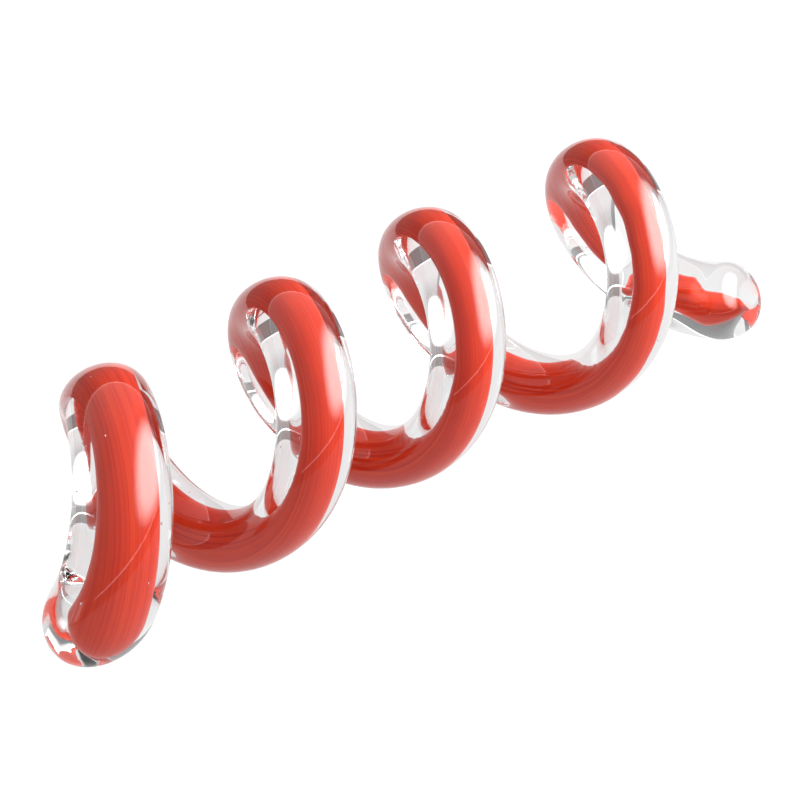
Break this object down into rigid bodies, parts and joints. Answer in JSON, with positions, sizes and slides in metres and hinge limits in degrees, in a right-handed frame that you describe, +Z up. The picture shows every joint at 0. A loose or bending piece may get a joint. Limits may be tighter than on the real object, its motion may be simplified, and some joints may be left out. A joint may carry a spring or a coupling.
{
  "type": "coiled glass rod",
  "caption": "Clear glass rod with an opaque red glass core, wound by hand into an open left-handed coil that lies on the polished undersides of two of its turns.",
  "frame": {"origin": "middle of the coil's box, on the plane that it rests on", "axes": "+Z up; +X along the coil's axis, from its domed thick end to its other end; -Y is the front"},
  "size_m": [0.2994, 0.085, 0.0823],
  "materials": {
    "clear_glass": "fire-polished, clear",
    "red_glass": "opaque, finely streaked along the rod"
  },
  "bodies": {
    "root": {"casing": "clear_glass", "core": "red_glass"}
  },
  "joints": []
}
